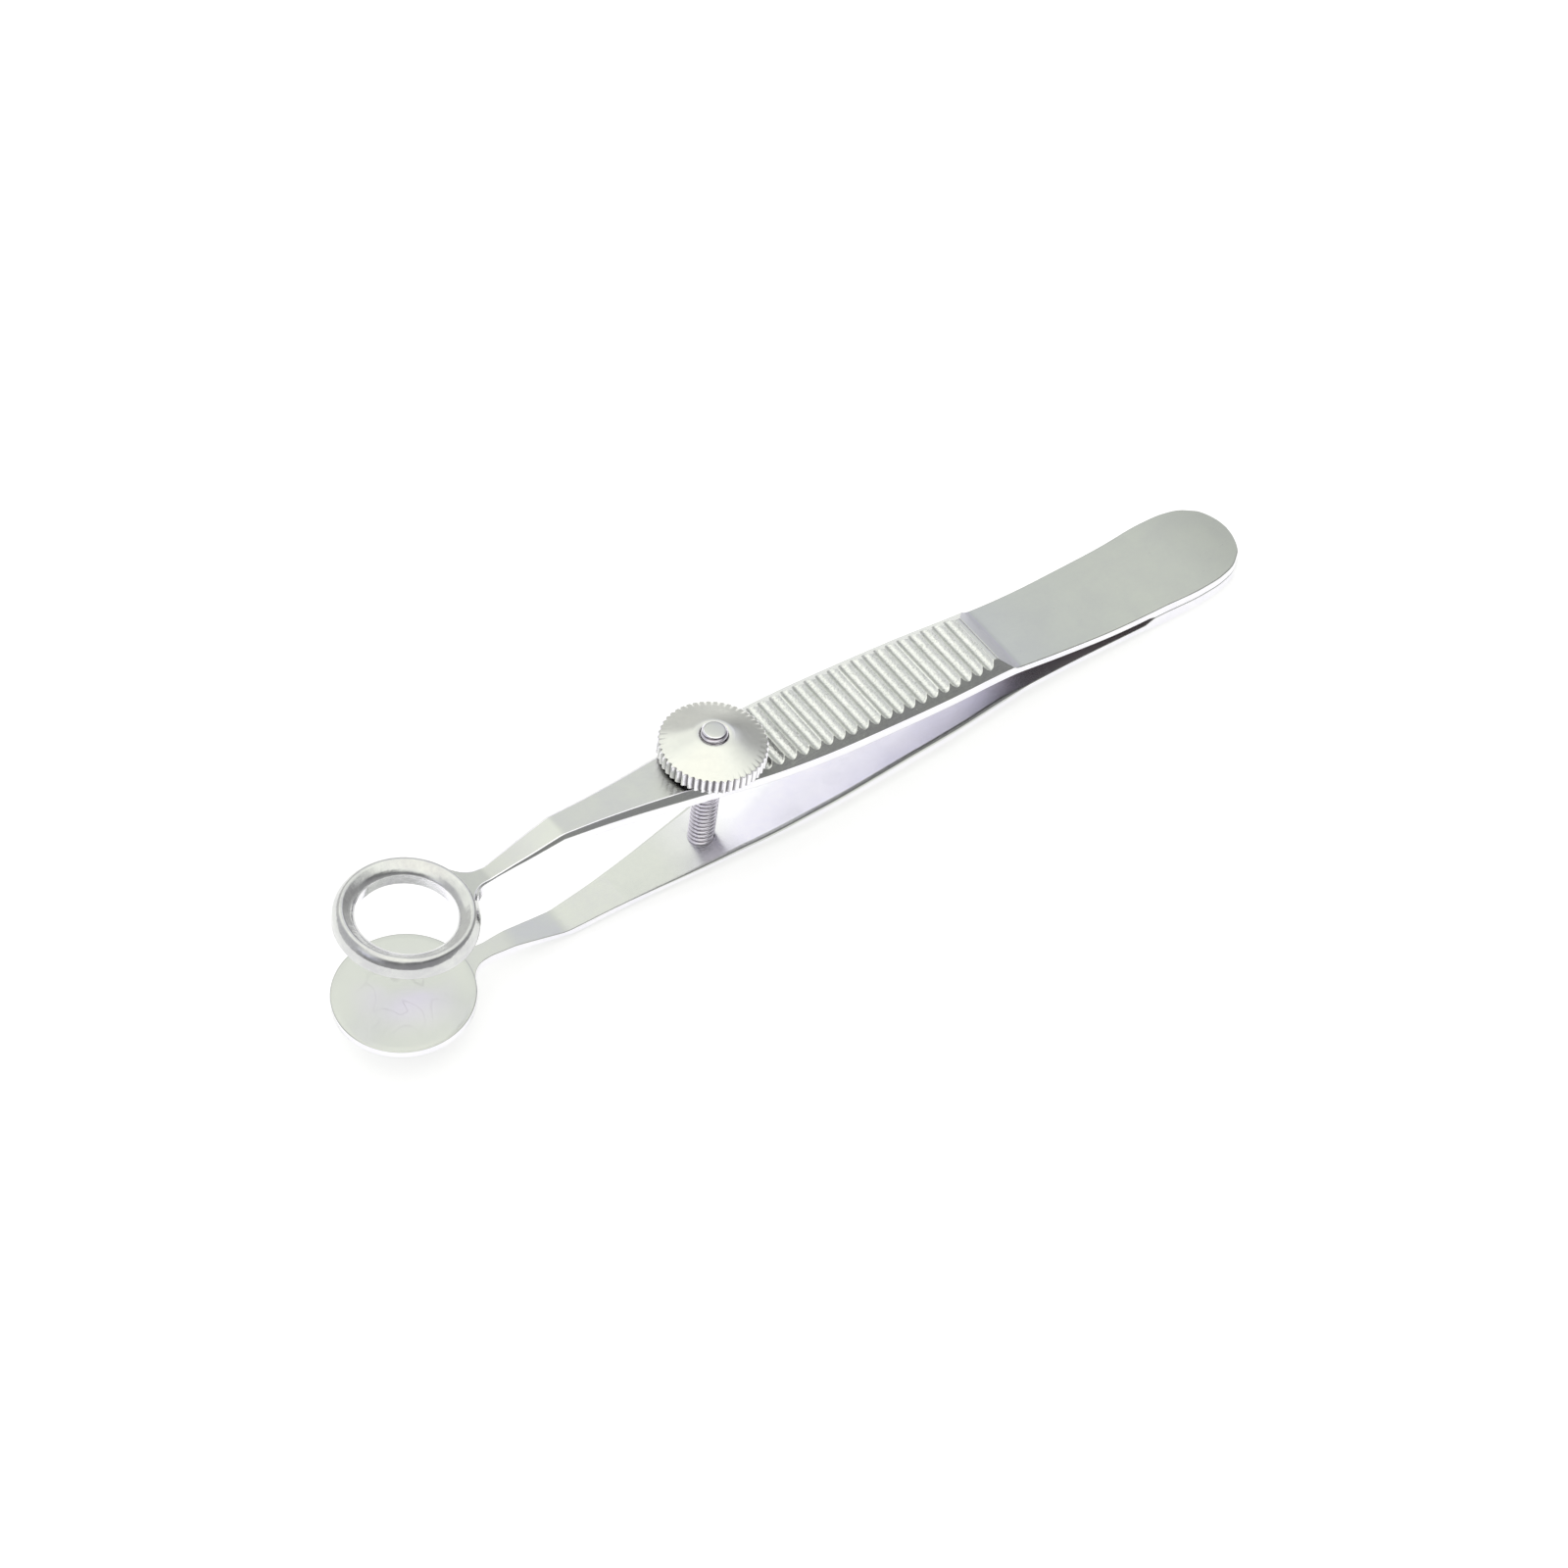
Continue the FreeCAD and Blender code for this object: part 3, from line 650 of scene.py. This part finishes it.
def groove_shade(tree, colour):
    """Painted light and shade on the serrations of the upper grip: brightest on their floors, darkest on
    the flank that faces the tail.
    """
    split = separate(tree, place_in_mm(tree))
    turn = math.atan(GRIP_SLOPE)
    first = SHIFT + GROOVE_START - (GROOVE_RADIUS - GROOVE_DEPTH) * math.sin(turn)
    run = GROOVE_PITCH * math.cos(turn)
    phase = math_node(tree, "SUBTRACT", split["X"], first)
    phase = math_node(tree, "FRACT", math_node(tree, "DIVIDE", phase, run))
    tone = ramp(tree, phase, [
        (0.00, 0.96), (0.10, 0.99), (0.22, 1.0), (0.45, 1.0), (0.52, 0.96), (0.60, 0.87), (0.68, 0.75),
        (0.76, 0.60), (0.84, 0.62), (0.92, 0.82), (1.00, 0.96),
    ])
    sparkle = noise(tree, place_in_mm(tree), 6.5, 2.0, 0.7)
    specks = ramp(tree, sparkle, [(0.36, (0.76, 0.77, 0.75)), (0.47, 0.98), (0.56, 1.0)])
    return times(tree, times(tree, colour, tone), specks)


def inner_shade(tree, colour):
    """Inner face of the lower arm: satin before the stud, bright behind it, and painted shade dimming it
    between the leaves.
    """
    return times(tree, colour, station_ramp(tree, [
        (24.0, (0.70, 0.725, 0.65)), (27.5, (0.78, 0.79, 0.76)), (31.0, 1.0), (56.0, 1.0),
        (59.0, (0.70, 0.67, 0.67)), (63.0, (0.45, 0.41, 0.41)), (67.0, (0.36, 0.32, 0.32)),
    ]))


def leaf_shade(tree, colour):
    """Painted light and shade along the tail: lighter at its start and a little darker towards its end."""
    return times(tree, colour, station_ramp(tree, [
        (57.0, (1.14, 1.14, 1.16)), (62.0, 1.07), (70.0, (1.03, 1.03, 1.02)), (76.0, 0.97), (81.0, 0.83),
    ]))


def neck_shade(tree, colour):
    """Painted shade: the neck is a little darker towards the ring."""
    return times(tree, colour, station_ramp(tree, [(5.0, (0.84, 0.85, 0.84)), (9.0, 0.90), (13.0, 1.0)]))


def plate_shade(tree, colour):
    """Lilac patches and thin stains in the middle of the plate."""
    position = place_in_mm(tree, PLATE_PLACE)
    middle = scaled(tree, radius_of(tree, separate(tree, position)), 1.0, 0.0, 1.5, 4.6)
    patches = scaled(tree, noise(tree, position, 0.2, 1.0, 0.4, 0.3), 0.0, 1.0, 0.40, 0.58)
    colour = mixed(tree, math_node(tree, "MULTIPLY", patches, middle), colour, (0.68, 0.665, 0.72))
    veins = noise(tree, position, 0.16, 1.5, 0.5, 1.2)
    stain = ramp(tree, veins, [(0.480, 1.0), (0.490, (0.89, 0.88, 0.89)), (0.500, 1.0)])
    return mixed(tree, middle, colour, times(tree, colour, stain))


def steel(name, light, shade_colour, roughness, spread, grain, marks, place=None, grain_scale=9.0,
          turned_marks=False, overlay=None, dulled=None):
    """Stainless steel: mottled colour, uneven roughness, tool marks and fine grain.

    The marks run along the piece or, if it is turned, round its axis. An overlay shades the
    colour, and dulled gives two stations between which the metallic share falls, and its end.
    """
    material = bpy.data.materials.new(name)
    material.use_nodes = True
    tree = material.node_tree
    shader = tree.nodes["Principled BSDF"]
    shader.inputs["Metallic"].default_value = 1.0
    position = place_in_mm(tree, place)
    blotches = noise(tree, position, 0.32, 4.0, 0.55, 0.4)
    specks = noise(tree, position, 2.6, 3.0, 0.6)
    tone = math_node(tree, "ADD", math_node(tree, "MULTIPLY", blotches, 0.7),
                     math_node(tree, "MULTIPLY", specks, 0.3))
    colour = mixed(tree, scaled(tree, tone, 0.0, 1.0, 0.38, 0.62), shade_colour, light)
    if overlay:
        colour = overlay(tree, colour)
    tree.links.new(colour, shader.inputs["Base Color"])
    if dulled:
        start, end, level = dulled
        split = separate(tree, place_in_mm(tree))
        metal = scaled(tree, split["X"], 1.0, level, SHIFT + start, SHIFT + end)
        tree.links.new(metal, shader.inputs["Metallic"])
    if turned_marks:
        lines_vector = polar(tree, position, 16.0, 1.2, 2.0)
    else:
        lines_vector = place_in_mm(tree, place, (0.25, 6.0, 6.0))
    lines = noise(tree, lines_vector, 1.0, 3.0, 0.6)
    uneven = math_node(tree, "ADD", math_node(tree, "MULTIPLY", lines, 0.5),
                       math_node(tree, "MULTIPLY", specks, 0.5))
    tree.links.new(scaled(tree, uneven, roughness - spread, roughness + spread), shader.inputs["Roughness"])
    fine = noise(tree, position, grain_scale, 2.0, 0.6)
    relief = math_node(tree, "ADD", math_node(tree, "MULTIPLY", lines, marks),
                       math_node(tree, "MULTIPLY", fine, grain))
    bump = node(tree, "ShaderNodeBump")
    bump.inputs["Strength"].default_value = 1.0
    bump.inputs["Distance"].default_value = 0.02 * MM
    tree.links.new(relief, bump.inputs["Height"])
    tree.links.new(bump.outputs["Normal"], shader.inputs["Normal"])
    return material


def add_camera():
    right = (CAMERA_RIGHT - CAMERA_LOOK * CAMERA_RIGHT.dot(CAMERA_LOOK)).normalized()
    up = right.cross(CAMERA_LOOK)
    turn = Matrix((right, up, -CAMERA_LOOK)).transposed()
    data = bpy.data.cameras.new("camera")
    data.sensor_width = SENSOR
    data.lens = FOCAL_PIXELS * SENSOR / PICTURE_SIDE
    data.clip_start = 0.01
    data.clip_end = 20.0
    camera = bpy.data.objects.new("camera", data)
    camera.matrix_world = Matrix.Translation(CAMERA_PLACE) @ turn.to_4x4()
    bpy.context.scene.collection.objects.link(camera)
    bpy.context.scene.camera = camera


def add_floor():
    """White table that also shows white to the camera and in reflections."""
    mesh = bpy.data.meshes.new("floor")
    corners = [(-1, -1, 0), (1, -1, 0), (1, 1, 0), (-1, 1, 0)]
    mesh.from_pydata([Vector(corner) * FLOOR_REACH for corner in corners], [], [(0, 1, 2, 3)])
    floor = bpy.data.objects.new("floor", mesh)
    floor.location.z = FLOOR_LEVEL * MM
    bpy.context.scene.collection.objects.link(floor)
    material = bpy.data.materials.new("floor_white")
    material.use_nodes = True
    tree = material.node_tree
    shader = tree.nodes["Principled BSDF"]
    shader.inputs["Base Color"].default_value = (FLOOR_GREY, FLOOR_GREY, FLOOR_GREY, 1)
    shader.inputs["Roughness"].default_value = 0.8
    shader.inputs["Specular IOR Level"].default_value = 0.1
    path = node(tree, "ShaderNodeLightPath")
    seen = math_node(tree, "MAXIMUM", path.outputs["Is Camera Ray"], path.outputs["Is Glossy Ray"])
    seen = math_node(tree, "MAXIMUM", seen, path.outputs["Is Transmission Ray"])
    shader.inputs["Emission Color"].default_value = (1, 1, 1, 1)
    tree.links.new(math_node(tree, "MULTIPLY", seen, FLOOR_GLOW), shader.inputs["Emission Strength"])
    mesh.materials.append(material)


def facing(tree, direction, target):
    """How closely a direction points at a target, from -1 to 1."""
    made = node(tree, "ShaderNodeVectorMath", operation="DOT_PRODUCT")
    made.inputs[1].default_value = target
    tree.links.new(direction, made.inputs[0])
    return made.outputs["Value"]


def add_light():
    """Soft studio: bright overhead, greyer towards the horizon, darkest low behind the camera."""
    world = bpy.data.worlds.new("studio")
    world.use_nodes = True
    bpy.context.scene.world = world
    tree = world.node_tree
    background = tree.nodes["Background"]
    background.inputs["Strength"].default_value = 1.0
    direction = node(tree, "ShaderNodeTexCoord").outputs["Generated"]
    split = separate(tree, direction)
    rise = split["Z"]
    beyond = facing(tree, direction, (0.09, 0.996, 0.0))
    towards_tail = facing(tree, direction, (0.996, -0.087, 0.0))

    def rising(value, low, high):
        return scaled(tree, value, 0.0, 1.0, low, high)

    def falling(value, low, high):
        return scaled(tree, value, 1.0, 0.0, low, high)

    def both(a, b):
        return math_node(tree, "MULTIPLY", a, b)

    sky = ramp(tree, rise, [
        (0.00, 0.48), (0.15, 0.40), (0.27, 0.28), (0.37, (0.78, 0.79, 0.90)), (0.46, (0.95, 0.95, 1.04)),
        (0.64, (0.90, 0.91, 0.89)), (0.79, (1.06, 1.07, 1.03)), (0.85, (1.19, 1.20, 1.15)),
        (0.97, (1.22, 1.21, 1.14)),
    ])
    # A grey wall low on the far side and a bright one above it.
    sky = mixed(tree, both(rising(beyond, 0.58, 0.85), falling(rise, 0.52, 0.60)), sky, (0.68, 0.68, 0.67))
    sky = mixed(tree, both(rising(beyond, 0.62, 0.78), rising(rise, 0.52, 0.60)), sky, (1.15, 1.16, 1.11))
    # Grey beyond the ring's end, greyer beyond the tail.
    front_end = both(falling(split["X"], -0.55, -0.2), rising(split["Y"], 0.0, 0.3))
    sky = mixed(tree, front_end, sky, (0.60, 0.60, 0.62))
    sky = mixed(tree, rising(towards_tail, 0.76, 0.86), sky, ramp(tree, rise, [(0.12, 0.56), (0.30, 0.38)]))
    # Darkest on the camera's side.
    near_side = both(falling(split["Y"], -0.5, -0.05), falling(rise, 0.62, 0.82))
    near_tone = ramp(tree, rise, [(0.32, (0.36, 0.36, 0.37)), (0.55, (0.20, 0.20, 0.205))])
    sky = mixed(tree, near_side, sky, near_tone)
    tree.links.new(sky, background.inputs["Color"])


add_camera()
add_floor()
add_light()

SATIN_LIGHT = (0.675, 0.695, 0.65)
SATIN_SHADE = (0.645, 0.655, 0.645)

arm_steel = steel(
    "arm_satin", SATIN_LIGHT, SATIN_SHADE, roughness=0.24, spread=0.04, grain=0.12, marks=0.25,
    overlay=neck_shade)
lower_steel = steel(
    "lower_arm_satin", SATIN_LIGHT, SATIN_SHADE, roughness=0.24, spread=0.04, grain=0.12, marks=0.25)
runout_steel = steel(
    "runout_satin", (0.68, 0.68, 0.73), (0.64, 0.645, 0.69), roughness=0.48, spread=0.04, grain=0.2,
    marks=0.2)
grip_steel = steel(
    "grip_blasted", (0.97, 0.985, 0.95), (0.90, 0.92, 0.885), roughness=0.34, spread=0.10, grain=3.0,
    marks=0.3, grain_scale=5.0, overlay=groove_shade)
under_steel = steel(
    "grip_underside", (0.80, 0.82, 0.77), (0.70, 0.73, 0.68), roughness=0.36, spread=0.10, grain=2.5,
    marks=0.3, grain_scale=5.0)
leaf_steel = steel(
    "leaf_satin", (0.555, 0.58, 0.54), (0.53, 0.55, 0.525), roughness=0.30, spread=0.03, grain=0.25,
    marks=0.5, overlay=leaf_shade)
# Near-white, lilac steel of the walls, rounded edges, the upper arm's inner face and the thread's chamfer,
# far paler than the satin tops: painted light standing in for the white table's reflection; its low
# roughness is the real polish.
wall_steel = steel(
    "wall_polished", (0.98, 0.97, 1.0), (0.93, 0.92, 0.98), roughness=0.16, spread=0.05, grain=0.2,
    marks=0.3)
inner_steel = steel(
    "inner_polished", (0.95, 0.945, 0.99), (0.90, 0.895, 0.95), roughness=0.22, spread=0.03, grain=0.03,
    marks=0.08, overlay=inner_shade, dulled=(57.0, 64.0, 0.5))
ring_steel = steel(
    "ring_polished", (0.73, 0.74, 0.72), (0.62, 0.62, 0.63), roughness=0.17, spread=0.05, grain=1.1,
    marks=0.04, place=RING_PLACE, grain_scale=1.3, turned_marks=True)
plate_steel = steel(
    "plate_satin", (0.67, 0.69, 0.65), (0.65, 0.67, 0.635), roughness=0.24, spread=0.02, grain=0.03,
    marks=0.03, place=PLATE_PLACE, overlay=plate_shade)
stud_steel = steel(
    "stud_polished", (0.97, 0.94, 1.0), (0.86, 0.84, 0.90), roughness=0.16, spread=0.06, grain=0.3,
    marks=0.2, place=STUD_PLACE, overlay=thread_shade)
washer_steel = steel(
    "washer_polished", (0.78, 0.77, 0.80), (0.62, 0.61, 0.64), roughness=0.20, spread=0.06, grain=0.3,
    marks=0.2, place=STUD_PLACE)
nut_steel = steel(
    "nut_turned", (0.83, 0.84, 0.79), (0.77, 0.78, 0.74), roughness=0.20, spread=0.03, grain=0.04,
    marks=0.03, place=STUD_PLACE, turned_marks=True, overlay=knurl_shade)

# Edges of an arm's section, numbered by edge_of: 0 the outer face, 1 to 5 a rounding, 6 the sloping
# facet, 7 to 11 a rounding, 12 the wall, 13 to 17 a rounding and 18 the inner face.
FACE_EDGES = range(0, 6)
ROUNDING_EDGES = range(1, 6)
UPPER_WALL_EDGES = range(10, 14)
UPPER_BACK_EDGES = range(17, 19)
LOWER_WALL_EDGES = range(10, 13)
LOWER_BACK_EDGES = range(18, 19)

# Stations where the finish of the outer face changes.
GRIP_FINISH = (GROOVE_START - 0.6, 55.6)
RUNOUT_FINISH = 56.1
LEAF_FINISH = 57.75
BACK_FINISH = 20.0

# Material slots of the two arms.
UPPER_STEELS = [arm_steel, grip_steel, leaf_steel, wall_steel, ring_steel, wall_steel, runout_steel]
ARM, GRIP, LEAF, WALL, RING, BACK, RUNOUT = range(7)
LOWER_STEELS = [lower_steel, under_steel, wall_steel, plate_steel, inner_steel]
LOWER, UNDER_GRIP, LOWER_WALL, PLATE, LOWER_BACK = range(5)


def in_grip(x):
    return GRIP_FINISH[0] < x < GRIP_FINISH[1]


def upper_slot(x, k, count):
    """Material slot of a face of the upper arm."""
    edge = edge_of(k, count)
    if edge in FACE_EDGES and in_grip(x):
        return GRIP
    if edge in FACE_EDGES and x > LEAF_FINISH:
        return LEAF
    if edge in FACE_EDGES and x > RUNOUT_FINISH:
        return RUNOUT
    # Painted highlight: the rounded edges along the shank take the near-white wall steel, a white line
    # along them.
    if edge in ROUNDING_EDGES and x < SHANK_END:
        return WALL
    # The upper arm's inner face takes the near-white wall steel, painted light that brightens its
    # reflection in the lower arm.
    if edge in UPPER_BACK_EDGES:
        return BACK
    return WALL if edge in UPPER_WALL_EDGES else ARM


def lower_slot(x, k, count):
    """Material slot of a face of the lower arm, whose sections run the other way round."""
    edge = edge_of((count - 2 - k) % count, count)
    if edge in FACE_EDGES and in_grip(x):
        return UNDER_GRIP
    if edge in LOWER_BACK_EDGES and x > BACK_FINISH:
        return LOWER_BACK
    return LOWER_WALL if edge in LOWER_WALL_EDGES else LOWER


def cut_slot(arm):
    """Long hole for the stud, square to its leaning axis."""
    half = 0.45
    radius = STUD_RADIUS + 0.25
    steps = 24
    outline = []
    for k in range(steps + 1):
        angle = -0.5 * math.pi + math.pi * k / steps
        outline.append((half + radius * math.cos(angle), radius * math.sin(angle)))
    outline += [(-x, -y) for x, y in outline]
    count = len(outline)
    vertices = [STUD_PLACE @ Vector((x, y, level)) for level in (5.5, 11.5) for x, y in outline]
    faces = [(k, (k + 1) % count, (k + 1) % count + count, k + count) for k in range(count)]
    faces += [tuple(reversed(range(count))), tuple(range(count, 2 * count))]
    combine(arm, new_piece("slot", vertices, faces, [arm_steel]), "DIFFERENCE")


def build_upper_arm():
    places = stations(5.0, (8.6, 15.0))
    sections = []
    grip_line = CREASE[1] + GRIP_SLOPE * (GROOVE_START - CREASE[0])
    for x in places:
        outer = softened(*UPPER_OUTER, x, 0.22 if 55.0 < x < 59.0 else 0.3)
        if has_grooves(x):
            outer = grooved(x, outer, grip_line, GRIP_SLOPE, 1)
        inner = softened(*UPPER_INNER, x, 0.15)
        half = max(half_width(x, RING_EDGE), 0.12)
        facet = facet_of(x, UPPER_FACET_START)
        spread = between(FACET_SPREAD, x)
        sections.append(section(half, outer, inner, between(UPPER_FACE, x), facet, spread, INNER_EDGE, 1))
    arm = loft("upper_arm_steel", places, sections, UPPER_STEELS, upper_slot)
    bite = [(0.02, -1.0), (RING_BITE, -1.0), (RING_BITE, 4.0), (0.02, 4.0)]
    combine(arm, revolve("bite", bite, RING_PLACE, 144, [arm_steel], closed=False), "DIFFERENCE")
    ring = revolve("ring", RING_PROFILE, RING_PLACE, 144, UPPER_STEELS,
                   choose=lambda i: WALL if i in RING_INNER_WALL else RING)
    combine(arm, ring, "UNION")
    cut_slot(arm)
    shade(arm, seam=RING)
    return arm


def build_lower_arm():
    places = stations(4.05, (9.8, 14.3))
    sections = []
    grip_line = between(LOWER_FACE, GROOVE_START)
    for x in places:
        inner = softened(*LOWER_INNER, x, 0.15 if x > 60 else 0.6)
        outer = softened(*LOWER_OUTER, x, 0.3)
        if has_grooves(x):
            outer = grooved(x, outer, grip_line, LOWER_GRIP_SLOPE, -1)
        half = max(half_width(x, PLATE_EDGE) + between(LOWER_WIDER, x), 0.12)
        facet = facet_of(x, LOWER_FACET_START)
        spread = between(FACET_SPREAD, x)
        edge = between(LOWER_INNER_EDGE, x)
        sections.append(section(half, outer, inner, between(LOWER_FACE, x), facet, spread, edge, -1))
    sections = [list(reversed(ring)) for ring in sections]
    arm = loft("lower_arm_steel", places, sections, LOWER_STEELS, lower_slot)
    plate = revolve("plate", PLATE_PROFILE, PLATE_PLACE, 144, LOWER_STEELS, closed=False,
                    choose=lambda i: LOWER_WALL if i in PLATE_WALL else PLATE)
    combine(arm, plate, "UNION")
    combine(arm, revolve("hole", RIVET_HOLE, STUD_PLACE, 48, [arm_steel], closed=False), "DIFFERENCE")
    shade(arm)
    return arm


def thread_radius(level, angle):
    """Radius of the thread at a level and a turn about the axis; its last turn runs out into the tip."""
    phase = (level / THREAD_PITCH - angle / (2 * math.pi)) % 1.0
    rise = 0.5 + 0.5 * math.cos(2 * math.pi * phase)
    depth = THREAD_DEPTH * (1 - rise**0.8)
    run_out = 0.18 * clamp(1 - (THREAD_TOP - level) / 0.14, 0, 1)
    return min(STUD_RADIUS - depth, STUD_RADIUS - run_out)


def build_stud():
    segments = 48
    step = 0.035
    turns = int((THREAD_TOP - THREAD_START) / step)
    profile = STUD_FOOT + [(None, THREAD_START + step * k) for k in range(turns)] + STUD_TIP
    chamfer = len(STUD_FOOT) + turns - 1
    threaded, tip, bright = range(3)

    def radius_at(radius, level, k):
        return thread_radius(level, 2 * math.pi * k / segments) if radius is None else radius

    def choose(i):
        # The chamfer at the top of the thread takes the near-white wall steel, a painted highlight ring.
        if i in (chamfer, chamfer + 1):
            return bright
        return tip if i > chamfer else threaded

    stud = revolve("threaded_stud_steel", profile, STUD_PLACE, segments,
                   [stud_steel, lower_steel, wall_steel], closed=False, choose=choose,
                   radius_at=radius_at, caps=(threaded, tip))
    shade(stud, 50.0)
    return stud


def build_nut():
    per_tooth = 8

    def radius_at(radius, level, k):
        phase = (k / per_tooth) % 1.0 - 0.5
        gap = clamp(1.0 - (abs(phase) - 0.06) / 0.32, 0.0, 1.0)
        return min(radius, NUT_RADIUS - TOOTH_DEPTH * gap)

    nut = revolve("thumb_nut_knurled", NUT_PROFILE, STUD_PLACE, NUT_TEETH * per_tooth, [nut_steel],
                  radius_at=radius_at)
    shade(nut, 30.0)
    return nut


upper_arm = build_upper_arm()
lower_arm = build_lower_arm()
stud = build_stud()
nut = build_nut()

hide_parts("upper_arm")
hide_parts("lower_arm")
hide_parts("threaded_stud")
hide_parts("thumb_nut")
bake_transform(upper_arm)
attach(lower_arm, "base")
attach(stud, "base")
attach(nut, "nut")

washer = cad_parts["seat_washer"]
for slot in washer.material_slots:
    slot.material = washer_steel

scene = bpy.context.scene
scene.view_settings.view_transform = "Standard"
